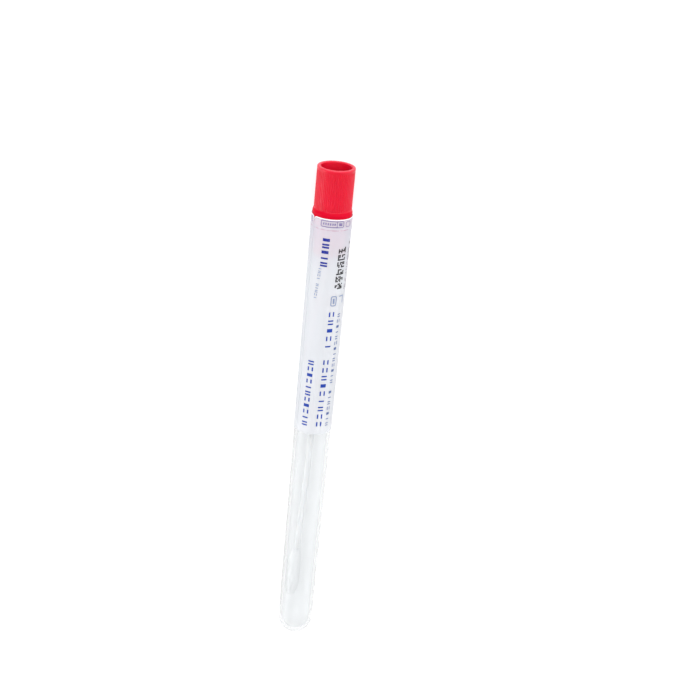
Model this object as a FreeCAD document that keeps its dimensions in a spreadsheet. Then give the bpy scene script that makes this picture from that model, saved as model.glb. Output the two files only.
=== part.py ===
import FreeCAD, Part
import os

import Sketcher

# Specimen swab tube, lying on its side: a round-ended tube along X with its cap
# towards +X, in millimetres.  The origin is under the middle of the whole length,
# on the surface that the tube lies on.

Vector = FreeCAD.Vector
Rotation = FreeCAD.Rotation
Placement = FreeCAD.Placement

# ---------------------------------------------------------------------------
# Driving dimensions, in millimetres and degrees
# ---------------------------------------------------------------------------

SIZES = {
    # tube
    "tube_length": 150.0,
    "tube_mouth_diameter": 12.5,
    "tube_end_diameter": 11.5,
    "tube_wall": 0.95,
    "tube_end_wall": 1.2,
    "mouth_edge_round": 0.2,
    # cap, above the tube's mouth
    "cap_height": 17.95,
    "flange_height": 3.9,
    "shoulder_height": 1.0,
    "grip_diameter": 11.8,
    "cup_diameter": 9.6,
    "cup_floor_height": 3.2,
    "cup_floor_round": 0.8,
    "rim_round": 0.35,
    # fine straight ribs round the grip, left between round flutes
    "rib_count": 56.0,
    "rib_rim_margin": 1.1,
    "flute_radius": 0.25,
    "flute_depth": 0.12,
    # plug, below the tube's mouth
    "plug_length": 10.0,
    "plug_wall": 0.9,
    "plug_lead_in": 0.6,
    "plug_floor": 1.6,
    "bead_height": 0.15,
    "bead_radius": 0.5,
    "bead_count": 2.0,
    "bead_spacing": 3.6,
    "bead_first": 2.6,
    # socket that holds the swab
    "boss_diameter": 4.2,
    "boss_recess": 2.5,
    "socket_roof": 2.0,
    # swab
    "shaft_diameter": 2.2,
    "bend_length": 42.5,
    "lean_run": 23.3,
    "bud_length": 18.0,
    "bud_diameter": 4.7,
    "bud_nose_length": 5.8,
    "bud_nose_radius": 1.75,
    "bud_cover": 2.4,
    "bud_neck_wall": 0.12,
    "swab_end_gap": 13.4,
    # label
    "label_length": 73.4,
    "label_overlap_on_cap": 2.87,
    "label_thickness": 0.1,
    "label_seam_gap": 0.15,
    "label_corner_radius": 1.1,
    "label_seam_angle": 56.0,
    # clearances
    "plug_clearance": 0.08,
    "flange_setback": 0.05,
    "socket_clearance": 0.03,
    "label_clearance": 0.02,
    "bud_cover_clearance": 0.02,
    "bud_wall_clearance": 0.36,
}

# ---------------------------------------------------------------------------
# Values worked out from the driving dimensions.  Each piece's stations are
# measured from its own lower end: the tube's round end, the plug's free end,
# the stick's top end, the bud's neck and the label's lower edge.
# ---------------------------------------------------------------------------

WORKED_OUT = {
    # whole object
    "whole_length": "sizes.tube_length + sizes.cap_height",
    "mouth_x": "whole_length / 2 - sizes.cap_height",
    # tube
    "tube_mouth_radius": "sizes.tube_mouth_diameter / 2",
    "tube_end_radius": "sizes.tube_end_diameter / 2",
    "tube_taper": "(tube_mouth_radius - tube_end_radius) / (sizes.tube_length - tube_end_radius)",
    "bore_mouth_radius": "tube_mouth_radius - sizes.tube_wall",
    "bore_end_radius": "tube_end_radius - sizes.tube_wall",
    "bore_end_centre": "sizes.tube_end_wall + bore_end_radius",
    # cap
    "flange_radius": "tube_mouth_radius - sizes.flange_setback",
    "flange_top": "sizes.plug_length + sizes.flange_height",
    "shoulder_top": "flange_top + sizes.shoulder_height",
    "rim_station": "sizes.plug_length + sizes.cap_height",
    "grip_radius": "sizes.grip_diameter / 2",
    "cup_radius": "sizes.cup_diameter / 2",
    "cup_floor_station": "sizes.plug_length + sizes.cup_floor_height",
    "recess_station": "cup_floor_station - sizes.plug_floor",
    "bead_top_radius": "bore_mouth_radius - sizes.plug_length * tube_taper - sizes.plug_clearance",
    "plug_radius": "bead_top_radius - sizes.bead_height",
    "bead_centre_radius": "bead_top_radius - sizes.bead_radius",
    "plug_tip_radius": "plug_radius - sizes.plug_lead_in / 2",
    "skirt_inner_radius": "plug_radius - sizes.plug_wall",
    "boss_radius": "sizes.boss_diameter / 2",
    "socket_station": "cup_floor_station - sizes.socket_roof",
    "socket_radius": "shaft_radius + sizes.socket_clearance",
    "rib_length": "rim_station - sizes.rib_rim_margin - shoulder_top",
    "flute_centre_radius": "grip_radius + sizes.flute_radius - sizes.flute_depth",
    # swab
    "shaft_radius": "sizes.shaft_diameter / 2",
    "bud_radius": "sizes.bud_diameter / 2",
    "bud_belly_station": "sizes.bud_length - sizes.bud_nose_length",
    "bud_offset": "bore_end_radius - bud_radius - sizes.bud_wall_clearance",
    "lean": "bud_offset / (sizes.bend_length / 2 + sizes.lean_run + bud_belly_station)",
    "lean_degrees": "lean * 180 / pi",
    "bend_radius": "sizes.bend_length / lean",
    "bend_run": "bend_radius * sin(lean_degrees)",
    "bend_rise": "bend_radius * (1 - cos(lean_degrees))",
    "swab_tip_depth": "sizes.tube_length - sizes.tube_end_wall - sizes.swab_end_gap",
    "shaft_top_height": "sizes.cup_floor_height - sizes.socket_roof",
    "neck_run": "sizes.lean_run * cos(lean_degrees)",
    "neck_rise": "bend_rise + sizes.lean_run * sin(lean_degrees)",
    "bud_run": "sizes.bud_length * cos(lean_degrees)",
    "straight_run": "swab_tip_depth + shaft_top_height - bend_run - neck_run - bud_run",
    "shaft_in_bud": "sizes.bud_length - sizes.bud_cover",
    "leaning_length": "sizes.lean_run + shaft_in_bud",
    "bud_hole_radius": "shaft_radius + sizes.bud_cover_clearance",
    "bud_neck_radius": "bud_hole_radius + sizes.bud_neck_wall",
    # label
    "label_top_radius": "tube_mouth_radius + sizes.label_overlap_on_cap * tube_taper"
                        " + sizes.label_clearance",
    "label_low_radius": "label_top_radius - sizes.label_length * tube_taper",
    "label_top_outer": "label_top_radius + sizes.label_thickness",
    "label_low_outer": "label_low_radius + sizes.label_thickness",
    "label_low_x": "mouth_x + sizes.label_overlap_on_cap - sizes.label_length",
    "slit_half": "sizes.label_seam_gap / 2",
    "slit_mouth": "slit_half + sizes.label_corner_radius",
    "slit_far": "sizes.label_length - sizes.label_corner_radius",
    "slit_reach": "sizes.label_length + sizes.label_corner_radius",
    "axis_height": "label_top_outer",
}

doc = FreeCAD.newDocument("specimen_swab_tube")


def make_size_sheet():
    """Spreadsheet of the driving dimensions, one named cell each."""
    sheet = doc.addObject("Spreadsheet::Sheet", "sizes")
    for row, (name, number) in enumerate(SIZES.items(), start=1):
        sheet.set(f"A{row}", name)
        sheet.set(f"B{row}", str(number))
        sheet.setAlias(f"B{row}", name)
    return sheet


def make_worked_out():
    """Set of the worked-out values, each bound to the sheet by its expression."""
    values = doc.addObject("App::VarSet", "worked_out")
    for name in WORKED_OUT:
        values.addProperty("App::PropertyFloat", name, "Worked out")
    for name, formula in WORKED_OUT.items():
        values.setExpression(name, formula)
    return values


sizes = make_size_sheet()
doc.recompute()
worked_out = make_worked_out()
doc.recompute()


def bound(name):
    """Expression that reads one named size; a leading minus gives its negative."""
    if name.startswith("-"):
        return "-" + bound(name[1:])
    if name in SIZES:
        return f"sizes.{name}"
    return f"worked_out.{name}"


def number(name):
    """Present number of one named size; a leading minus gives its negative."""
    if name.startswith("-"):
        return -number(name[1:])
    if name in SIZES:
        return float(sizes.get(name))
    return float(getattr(worked_out, name))


# ---------------------------------------------------------------------------
# Shared ways of building
# ---------------------------------------------------------------------------

def new_body(name):
    """Body of one piece, labelled with the piece's name."""
    body = doc.addObject("PartDesign::Body", f"{name}_body")
    body.Label = name
    return body


def origin_feature(body, role):
    """Origin plane or axis of a body."""
    return next(item for item in body.Origin.OriginFeatures if item.Role == role)


def new_sketch(body, name, role="XY_Plane"):
    """Sketch on one of the body's origin planes."""
    sketch = body.newObject("Sketcher::SketchObject", name)
    sketch.AttachmentSupport = [(origin_feature(body, role), "")]
    sketch.MapMode = "FlatFace"
    return sketch


def constrain(sketch, *constraint, size=None, unit=""):
    """Add a constraint, bound to a named size if one is given."""
    index = sketch.addConstraint(Sketcher.Constraint(*constraint))
    if size is not None:
        title = f"{size.lstrip('-')}_{index}"
        sketch.renameConstraint(index, title)
        sketch.setExpression(f"Constraints.{title}", bound(size) + unit)


ORIGIN_POINT = (-1, 1)
X_AXIS = -1
Y_AXIS = -2


def pin_point(sketch, point, station, radius):
    """Fix a sketch point at a station along the axis and a radius from it.

    Each is the name of a size, or 0 for a point on the other axis.
    """
    if station:
        constrain(sketch, "DistanceX", *ORIGIN_POINT, *point, number(station), size=station)
    else:
        constrain(sketch, "PointOnObject", *point, Y_AXIS)
    if radius:
        constrain(sketch, "DistanceY", *ORIGIN_POINT, *point, number(radius), size=radius)
    else:
        constrain(sketch, "PointOnObject", *point, X_AXIS)


def corner_vector(corner):
    """Present place of a corner given by two size names."""
    station, radius = corner
    return Vector(number(station) if station else 0, number(radius) if radius else 0, 0)


def arc_between(start, end, centre):
    """Sketch arc from start to end about a centre, and whether it runs backwards."""
    circle = Part.Circle(centre, Vector(0, 0, 1), (start - centre).Length)
    clockwise = (start - centre).cross(end - centre).z < 0
    first, last = (end, start) if clockwise else (start, end)
    arc = Part.ArcOfCircle(circle, circle.parameter(first), circle.parameter(last))
    return arc, clockwise


def closed_outline(sketch, corners, arc_centres=None):
    """Closed outline through corners, each a pair of size names.

    arc_centres maps the number of an edge to its centre, also a pair of size names;
    every other edge is straight.
    """
    arc_centres = arc_centres or {}
    starts = []
    ends = []
    for index, corner in enumerate(corners):
        here = corner_vector(corner)
        there = corner_vector(corners[(index + 1) % len(corners)])
        if index in arc_centres:
            station, radius = arc_centres[index]
            arc, backwards = arc_between(here, there, corner_vector((station, radius)))
            edge = sketch.addGeometry(arc, False)
            if radius:
                constrain(sketch, "DistanceX", *ORIGIN_POINT, edge, 3, number(station),
                          size=station)
            else:
                constrain(sketch, "PointOnObject", edge, 3, X_AXIS)
            starts.append((edge, 2 if backwards else 1))
            ends.append((edge, 1 if backwards else 2))
        else:
            edge = sketch.addGeometry(Part.LineSegment(here, there), False)
            starts.append((edge, 1))
            ends.append((edge, 2))
    for index, corner in enumerate(corners):
        constrain(sketch, "Coincident", *ends[index - 1], *starts[index])
        pin_point(sketch, starts[index], *corner)


def revolve(body, sketch, name):
    """Turn a section about the body's X axis."""
    turned = body.newObject("PartDesign::Revolution", name)
    turned.Profile = sketch
    turned.ReferenceAxis = (sketch, ["H_Axis"])
    turned.Angle = 360.0
    doc.recompute()
    return turned


def ring_edges(feature, wanted):
    """Names of the full circles about the X axis at the wanted stations and radii."""
    names = []
    for index, edge in enumerate(feature.Shape.Edges, start=1):
        if edge.Degenerated or not isinstance(edge.Curve, Part.Circle):
            continue
        for station, radius in wanted:
            here = abs(edge.Curve.Center.x - number(station)) < 1e-4
            if here and abs(edge.Curve.Radius - number(radius)) < 1e-4:
                names.append(f"Edge{index}")
    return names


def round_edges(body, feature, names, size, name):
    """Fillet named edges of a feature with a radius bound to a size."""
    rounded = body.newObject("PartDesign::Fillet", name)
    rounded.Base = (feature, names)
    rounded.Radius = number(size)
    rounded.setExpression("Radius", bound(size))
    doc.recompute()
    return rounded


def place(body, station, turn_axis=Vector(0, 0, 1), turn=None):
    """Set a piece on the common axis, its own origin at a station, turned if asked."""
    body.Placement = Placement(Vector(0, 0, 0), Rotation(turn_axis, 1 if turn else 0))
    body.setExpression(".Placement.Base.x", station)
    body.setExpression(".Placement.Base.z", bound("axis_height"))
    if turn:
        body.setExpression(".Placement.Rotation.Angle", turn)


# ---------------------------------------------------------------------------
# Tube
# ---------------------------------------------------------------------------

def make_tube():
    """Round-ended tube with a slight taper, open at its mouth."""
    body = new_body("tube")
    section = new_sketch(body, "tube_section")
    corners = [
        (0, 0),
        ("tube_end_radius", "tube_end_radius"),
        ("tube_length", "tube_mouth_radius"),
        ("tube_length", "bore_mouth_radius"),
        ("bore_end_centre", "bore_end_radius"),
        ("tube_end_wall", 0),
    ]
    closed_outline(section, corners, {0: ("tube_end_radius", 0), 4: ("bore_end_centre", 0)})
    wall = revolve(body, section, "tube_wall_turned")
    rims = [("tube_length", "tube_mouth_radius"), ("tube_length", "bore_mouth_radius")]
    body.Tip = round_edges(body, wall, ring_edges(wall, rims), "mouth_edge_round", "mouth_rounds")
    place(body, "-worked_out.whole_length / 2")
    return body


# ---------------------------------------------------------------------------
# Cap
# ---------------------------------------------------------------------------

def make_cap():
    """One-piece cap: ribbed open cup, shoulder, flange and hollow plug with its socket."""
    body = new_body("cap")
    section = new_sketch(body, "cap_section")
    corners = [
        (0, "plug_tip_radius"),
        ("plug_lead_in", "plug_radius"),
        ("plug_length", "plug_radius"),
        ("plug_length", "flange_radius"),
        ("flange_top", "flange_radius"),
        ("shoulder_top", "grip_radius"),
        ("rim_station", "grip_radius"),
        ("rim_station", "cup_radius"),
        ("cup_floor_station", "cup_radius"),
        ("cup_floor_station", 0),
        ("socket_station", 0),
        ("socket_station", "socket_radius"),
        ("boss_recess", "socket_radius"),
        ("boss_recess", "boss_radius"),
        ("recess_station", "boss_radius"),
        ("recess_station", "skirt_inner_radius"),
        (0, "skirt_inner_radius"),
    ]
    closed_outline(section, corners)
    moulding = revolve(body, section, "cap_turned")

    bead_section = new_sketch(body, "bead_section")
    bead_centre = Vector(number("bead_first"), number("bead_centre_radius"), 0)
    circle = Part.Circle(bead_centre, Vector(0, 0, 1), number("bead_radius"))
    bead_ring = bead_section.addGeometry(circle, False)
    constrain(bead_section, "Radius", bead_ring, number("bead_radius"), size="bead_radius")
    pin_point(bead_section, (bead_ring, 3), "bead_first", "bead_centre_radius")
    bead = revolve(body, bead_section, "first_bead")
    beads = body.newObject("PartDesign::LinearPattern", "sealing_beads")
    beads.Originals = [bead]
    beads.Direction = (origin_feature(body, "X_Axis"), [""])
    beads.setExpression("Length", "sizes.bead_spacing * (sizes.bead_count - 1)")
    beads.setExpression("Occurrences", bound("bead_count"))
    body.Tip = beads
    doc.recompute()

    rims = [("rim_station", "grip_radius"), ("rim_station", "cup_radius")]
    rim = round_edges(body, beads, ring_edges(beads, rims), "rim_round", "rim_rounds")
    floor_ring = ring_edges(rim, [("cup_floor_station", "cup_radius")])
    cup = round_edges(body, rim, floor_ring, "cup_floor_round", "cup_floor_corner")

    flute_section = new_sketch(body, "flute_section", "YZ_Plane")
    flute_section.setExpression(".AttachmentOffset.Base.z", bound("shoulder_top"))
    circle = Part.Circle(Vector(0, number("flute_centre_radius"), 0), Vector(0, 0, 1),
                         number("flute_radius"))
    flute_ring = flute_section.addGeometry(circle, False)
    constrain(flute_section, "Radius", flute_ring, number("flute_radius"), size="flute_radius")
    pin_point(flute_section, (flute_ring, 3), 0, "flute_centre_radius")
    flute = body.newObject("PartDesign::Pocket", "first_flute")
    flute.Profile = flute_section
    flute.Type = 0
    flute.setExpression("Length", bound("rib_length"))
    flute.Reversed = True
    doc.recompute()
    check_removed(cup, flute, "the first flute")
    flutes = body.newObject("PartDesign::PolarPattern", "grip_flutes")
    flutes.Originals = [flute]
    flutes.Axis = (origin_feature(body, "X_Axis"), [""])
    flutes.Angle = 360.0
    flutes.setExpression("Occurrences", bound("rib_count"))
    body.Tip = flutes
    place(body, "worked_out.mouth_x - sizes.plug_length")
    return body


def check_removed(before, after, what):
    """Stop if a cut took nothing away."""
    if after.Shape.Volume >= before.Shape.Volume - 1e-6:
        raise RuntimeError(f"{what} cuts nothing")


# ---------------------------------------------------------------------------
# Swab
# ---------------------------------------------------------------------------

def make_swab_shaft():
    """Stick of the swab: straight below its socket, then bent gently to one side."""
    body = new_body("swab_shaft")
    straight = number("straight_run")
    bend = number("bend_radius")
    bend_start = Vector(straight, 0, 0)
    bend_centre = Vector(straight, bend, 0)
    bend_end = bend_start + Vector(number("bend_run"), number("bend_rise"), 0)
    along = Rotation(Vector(0, 0, 1), number("lean_degrees")).multVec(Vector(1, 0, 0))
    tip = bend_end + along * number("leaning_length")

    path = new_sketch(body, "shaft_path")
    run = path.addGeometry(Part.LineSegment(Vector(0, 0, 0), bend_start), False)
    arc, backwards = arc_between(bend_start, bend_end, bend_centre)
    curve = path.addGeometry(arc, False)
    lean_line = path.addGeometry(Part.LineSegment(bend_end, tip), False)
    constrain(path, "Coincident", run, 1, *ORIGIN_POINT)
    constrain(path, "PointOnObject", run, 2, X_AXIS)
    constrain(path, "DistanceX", run, 1, run, 2, straight, size="straight_run")
    constrain(path, "Tangent", run, 2, curve, 1)
    constrain(path, "Tangent", curve, 2, lean_line, 1)
    constrain(path, "Radius", curve, bend, size="bend_radius")
    constrain(path, "Angle", lean_line, number("lean"), size="lean_degrees", unit=" * 1 deg")
    constrain(path, "Distance", lean_line, number("leaning_length"), size="leaning_length")

    round_section = new_sketch(body, "shaft_section", "YZ_Plane")
    circle = Part.Circle(Vector(0, 0, 0), Vector(0, 0, 1), number("shaft_radius"))
    ring = round_section.addGeometry(circle, False)
    constrain(round_section, "Coincident", ring, 3, *ORIGIN_POINT)
    constrain(round_section, "Radius", ring, number("shaft_radius"), size="shaft_radius")
    doc.recompute()

    stick = body.newObject("PartDesign::AdditivePipe", "stick")
    stick.Profile = round_section
    stick.Spine = (path, ["Edge1", "Edge2", "Edge3"])
    body.Tip = stick
    place(body, "worked_out.mouth_x + worked_out.shaft_top_height", Vector(0, 1, 0), "180")
    return body


def make_swab_bud():
    """Fibre bud wound on the stick: slim neck, full belly, rounded nose."""
    body = new_body("swab_bud")
    section = new_sketch(body, "bud_section")
    neck = Vector(0, number("bud_neck_radius"), 0)
    belly = Vector(number("bud_belly_station"), number("bud_radius"), 0)
    nose = Vector(number("bud_length"), 0, 0)
    hole_end = Vector(number("shaft_in_bud"), number("bud_hole_radius"), 0)
    rise = belly.y - neck.y
    flank_radius = (belly.x ** 2 + rise ** 2) / (2 * rise)
    flank_centre = belly - Vector(0, flank_radius, 0)
    nose_radius = number("bud_nose_radius")
    nose_centre = nose - Vector(nose_radius, 0, 0)
    reach = nose_centre.x - belly.x
    crown_radius = (reach ** 2 + belly.y ** 2 - nose_radius ** 2) / (2 * (belly.y - nose_radius))
    crown_centre = belly - Vector(0, crown_radius, 0)
    join = nose_centre + (nose_centre - crown_centre).normalize() * nose_radius

    flank, _ = arc_between(belly, neck, flank_centre)
    crown, _ = arc_between(join, belly, crown_centre)
    tip, _ = arc_between(nose, join, nose_centre)
    flank = section.addGeometry(flank, False)
    crown = section.addGeometry(crown, False)
    tip = section.addGeometry(tip, False)
    constrain(section, "Coincident", flank, 1, crown, 2)
    constrain(section, "Tangent", crown, 1, tip, 2)
    constrain(section, "PointOnObject", tip, 3, X_AXIS)
    constrain(section, "Radius", tip, nose_radius, size="bud_nose_radius")
    constrain(section, "Vertical", flank, 3, flank, 1)
    constrain(section, "Vertical", crown, 3, crown, 2)
    pin_point(section, (flank, 2), 0, "bud_neck_radius")
    pin_point(section, (flank, 1), "bud_belly_station", "bud_radius")
    pin_point(section, (tip, 1), "bud_length", 0)

    points = [nose, Vector(hole_end.x, 0, 0), hole_end, Vector(0, hole_end.y, 0), neck]
    lines = [section.addGeometry(Part.LineSegment(start, end), False)
             for start, end in zip(points, points[1:])]
    constrain(section, "Coincident", tip, 1, lines[0], 1)
    for before, after in zip(lines, lines[1:]):
        constrain(section, "Coincident", before, 2, after, 1)
    constrain(section, "Coincident", lines[-1], 2, flank, 2)
    pin_point(section, (lines[0], 2), "shaft_in_bud", 0)
    pin_point(section, (lines[1], 2), "shaft_in_bud", "bud_hole_radius")
    pin_point(section, (lines[2], 2), 0, "bud_hole_radius")
    body.Tip = revolve(body, section, "bud_turned")
    neck_x = ("worked_out.mouth_x + worked_out.shaft_top_height - worked_out.straight_run"
              " - worked_out.bend_run - worked_out.neck_run")
    place(body, neck_x, turn="180 - worked_out.lean_degrees")
    body.setExpression(".Placement.Base.y", bound("neck_rise"))
    return body


# ---------------------------------------------------------------------------
# Label
# ---------------------------------------------------------------------------

def make_label():
    """Thin printed sheet wrapped round the tube, its ends meeting in a narrow seam."""
    body = new_body("label")
    section = new_sketch(body, "label_section")
    corners = [
        (0, "label_low_radius"),
        ("label_length", "label_top_radius"),
        ("label_length", "label_top_outer"),
        (0, "label_low_outer"),
    ]
    closed_outline(section, corners)
    sleeve = revolve(body, section, "label_turned")

    slit = new_sketch(body, "seam_slit")
    corners = [
        ("-label_corner_radius", "-slit_mouth"),
        (0, "-slit_mouth"),
        ("label_corner_radius", "-slit_half"),
        ("slit_far", "-slit_half"),
        ("label_length", "-slit_mouth"),
        ("slit_reach", "-slit_mouth"),
        ("slit_reach", "slit_mouth"),
        ("label_length", "slit_mouth"),
        ("slit_far", "slit_half"),
        ("label_corner_radius", "slit_half"),
        (0, "slit_mouth"),
        ("-label_corner_radius", "slit_mouth"),
    ]
    closed_outline(slit, corners, {
        1: ("label_corner_radius", "-slit_mouth"),
        3: ("slit_far", "-slit_mouth"),
        7: ("slit_far", "slit_mouth"),
        9: ("label_corner_radius", "slit_mouth"),
    })
    seam = body.newObject("PartDesign::Pocket", "seam")
    seam.Profile = slit
    seam.Type = 0
    seam.setExpression("Length", "worked_out.label_top_outer + sizes.label_thickness")
    seam.Reversed = True
    doc.recompute()
    check_removed(sleeve, seam, "the label's seam")
    body.Tip = seam
    place(body, bound("label_low_x"), Vector(1, 0, 0), "-sizes.label_seam_angle")
    return body


# ---------------------------------------------------------------------------
# Build, check and write
# ---------------------------------------------------------------------------

def check_document():
    """Stop if any object of the document failed to build."""
    for item in doc.Objects:
        if "Invalid" in item.State or "Error" in item.State:
            raise RuntimeError(f"{item.Name} failed to build: {item.State}")


def check_piece(body):
    """Stop if a piece isn't one valid closed solid."""
    shape = body.Shape
    if shape.isNull() or not shape.isValid():
        raise RuntimeError(f"{body.Label} has no valid shape")
    if len(shape.Solids) != 1:
        raise RuntimeError(f"{body.Label} has {len(shape.Solids)} solids")


pieces = [make_tube(), make_cap(), make_swab_shaft(), make_swab_bud(), make_label()]
doc.recompute()
check_document()
for piece in pieces:
    check_piece(piece)

os.makedirs("parts", exist_ok=True)
for piece in pieces:
    piece.Shape.exportStep(f"parts/{piece.Label}.step")
    box = piece.Shape.optimalBoundingBox()
    print(f"{piece.Label}: {piece.Shape.Volume:.1f} mm3, x {box.XMin:.2f} to {box.XMax:.2f},"
          f" y {box.YMin:.2f} to {box.YMax:.2f}, z {box.ZMin:.2f} to {box.ZMax:.2f}")
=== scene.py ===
"""Looks for the specimen swab tube: clear tube, push cap, printed film label and dry swab.

Lengths are in metres. The tube lies along X with its cap towards +X, and every piece takes its
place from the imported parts. Angles round the tube run from straight up towards +Y.
"""

import logging
import math
import random
from dataclasses import dataclass, field
from enum import Enum
from typing import Sequence

import bpy
import numpy as np
from mathutils import Matrix, Vector


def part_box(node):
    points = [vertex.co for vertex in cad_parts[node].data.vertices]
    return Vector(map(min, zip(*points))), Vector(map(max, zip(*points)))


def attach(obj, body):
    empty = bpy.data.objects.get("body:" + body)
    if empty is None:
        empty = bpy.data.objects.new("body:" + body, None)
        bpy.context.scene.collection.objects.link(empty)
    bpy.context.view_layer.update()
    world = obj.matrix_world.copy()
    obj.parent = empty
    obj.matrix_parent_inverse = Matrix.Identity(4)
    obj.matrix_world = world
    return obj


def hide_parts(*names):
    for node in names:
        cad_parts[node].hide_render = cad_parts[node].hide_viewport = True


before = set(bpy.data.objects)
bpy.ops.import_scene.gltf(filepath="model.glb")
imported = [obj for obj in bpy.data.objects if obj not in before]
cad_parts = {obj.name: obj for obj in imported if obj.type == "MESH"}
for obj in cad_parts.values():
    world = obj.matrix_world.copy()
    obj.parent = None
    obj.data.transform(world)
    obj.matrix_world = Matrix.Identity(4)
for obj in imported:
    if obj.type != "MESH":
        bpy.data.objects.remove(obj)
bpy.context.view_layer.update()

MM = 0.001
TURN = 2 * math.pi
LOG = logging.getLogger("swab_tube")
Colour = Place = tuple[float, float, float]
Outline = list[tuple[float, float]]
Material, Piece, Socket = bpy.types.Material, bpy.types.Object, bpy.types.NodeSocket


# ---- Mesh and node helpers ----

class MeshParts:
    """Points and faces gathered for one mesh object."""

    ASIDE = (0.31, 0.17, 0.94)
    """A direction that no thread runs along."""
    NOSE_POWER = 12
    """How suddenly a thread narrows at its ends."""
    NOSE_SHARE = 0.15
    """Radius added all along a thread, so that its ends aren't points."""

    def __init__(self) -> None:
        """Starts with no points."""
        self.points: list[Sequence[float]] = []
        self.faces: list[tuple[int, ...]] = []

    def add_points(self, points: Sequence[Sequence[float]]) -> list[int]:
        """Adds points and returns the index of each."""
        self.points.extend(points)
        return list(range(len(self.points) - len(points), len(self.points)))

    def add_grid(self, rows: Sequence[Sequence[int]], wrap: bool = False) -> None:
        """Joins rows of points with four-sided faces, which face row direction cross column direction.

        Args:
            rows: Point indices, one sequence per row, all as long.
            wrap: True if each row closes on itself.
        """
        for near, far in zip(rows, rows[1:]):
            count = len(near)
            for i in range(count if wrap else count - 1):
                j = (i + 1) % count
                self.faces.append((near[i], far[i], far[j], near[j]))

    def add_fan(self, centre: int, ring: Sequence[int]) -> None:
        """Closes a ring of points with triangles to a centre point, as the start of a grid."""
        self.faces += [(centre, a, b) for a, b in zip(ring, [*ring[1:], ring[0]])]

    def add_spindle(self, rings: Sequence[Sequence[int]], tips: Sequence[int]) -> None:
        """Joins rings of points and closes each end to a tip.

        Args:
            rings: Point indices round each ring.
            tips: The end points before the first ring and after the last.
        """
        self.add_grid(rings, wrap=True)
        self.add_fan(tips[0], rings[0])
        self.add_fan(tips[1], rings[-1][::-1])

    def add_rod(self, rings: Sequence[Sequence[int]]) -> None:
        """Joins rings of points and closes each end flat."""
        self.add_grid(rings, wrap=True)
        self.faces += [tuple(rings[0]), tuple(reversed(rings[-1]))]

    def add_slab(self, upper: Sequence[Sequence[int]], lower: Sequence[Sequence[int]]) -> None:
        """Joins two layers of points into a closed plate.

        Args:
            upper: Rows of the layer that faces row direction cross column direction.
            lower: Rows of the layer under it.
        """
        first, last = ([[row[end] for row in layer] for layer in (upper, lower)] for end in (0, -1))
        for rows in (upper, lower[::-1], [lower[0], upper[0]], [upper[-1], lower[-1]], first, last[::-1]):
            self.add_grid(rows)

    def add_thread(self, path: np.ndarray, radius: float, sides: int) -> None:
        """Adds a thin closed round thread along a path.

        Args:
            path: Points of the centreline, as an array of rows.
            radius: Thread radius.
            sides: Sides of its section.
        """
        along = np.gradient(path, axis=0)
        along /= np.linalg.norm(along, axis=1)[:, None]
        across = np.cross(along, self.ASIDE)
        across /= np.linalg.norm(across, axis=1)[:, None]
        third = np.cross(along, across)
        rings = []
        for centre, u, v, share in zip(path, across, third, np.linspace(-1, 1, len(path))):
            size = radius * (1 - abs(share) ** self.NOSE_POWER) + self.NOSE_SHARE * radius
            ring = [centre + size * (math.cos(t) * u + math.sin(t) * v) for t in round_turns(sides)]
            rings.append(self.add_points(ring))
        self.add_rod(rings[::-1])

    def make(self, name: str, finish: Material, sharp_above: float = 40.0) -> Piece:
        """Makes the mesh object.

        Args:
            name: Name of the piece.
            finish: Its material.
            sharp_above: Edges that turn more than this, in degrees, stay sharp.

        Returns:
            The new object.
        """
        mesh = bpy.data.meshes.new(name)
        mesh.from_pydata([tuple(map(float, p)) for p in self.points], [], self.faces)
        mesh.polygons.foreach_set("use_smooth", [True] * len(mesh.polygons))
        mesh.set_sharp_from_angle(angle=math.radians(sharp_above))
        mesh.materials.append(finish)
        mesh.update()
        piece = bpy.data.objects.new(name, mesh)
        bpy.context.scene.collection.objects.link(piece)
        return piece


def round_turns(count: int) -> np.ndarray:
    """Returns evenly spaced angles of one whole turn."""
    return np.linspace(0, TURN, count, endpoint=False)


def arc(x: float, y: float, radius: float, start: float, end: float, steps: int) -> Outline:
    """Returns points on a circle round (x, y), from one angle to another."""
    return [(x + radius * math.cos(a), y + radius * math.sin(a)) for a in np.linspace(start, end, steps)]


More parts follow.
